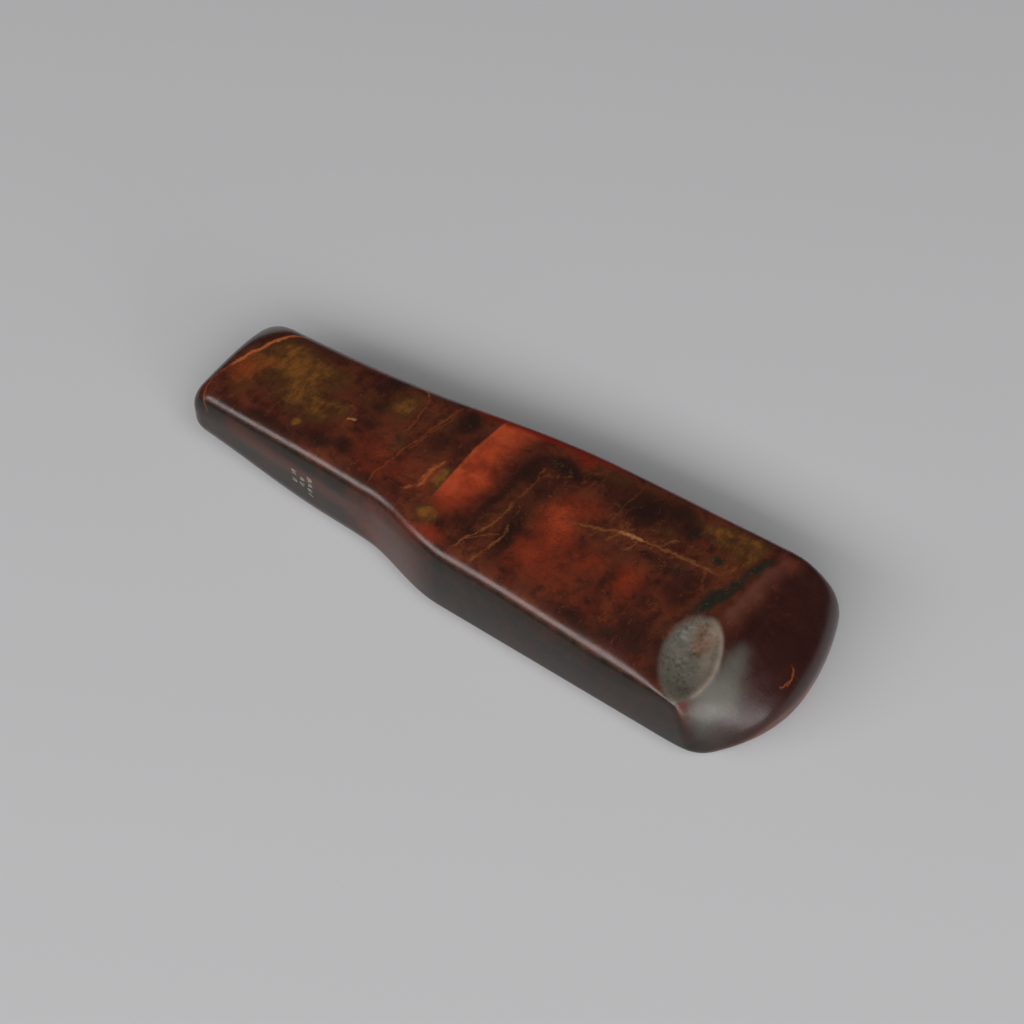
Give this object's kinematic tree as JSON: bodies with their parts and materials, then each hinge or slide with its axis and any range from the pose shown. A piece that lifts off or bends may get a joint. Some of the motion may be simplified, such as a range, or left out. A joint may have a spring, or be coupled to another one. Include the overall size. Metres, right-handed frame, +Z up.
{
  "type": "axe head",
  "caption": "Polished jadeite axe head with a narrow tang, soft shoulders, a wide blade, a convex bevel to a blunt curved edge and a shallow hollow ground beside the ridge",
  "frame": {"origin": "middle of the box's underside, on the surface the stone lies on", "axes": "+X along the stone to the cutting edge, +Y across it away from the inscribed side, +Z up out of the bevelled face"},
  "size_m": [0.1736, 0.0546, 0.024],
  "materials": {
    "jadeite": "polished, satin to gloss, mottled red-brown with ochre veins and grey-green patches"
  },
  "bodies": {
    "root": {"axe_head": "jadeite"}
  },
  "joints": []
}
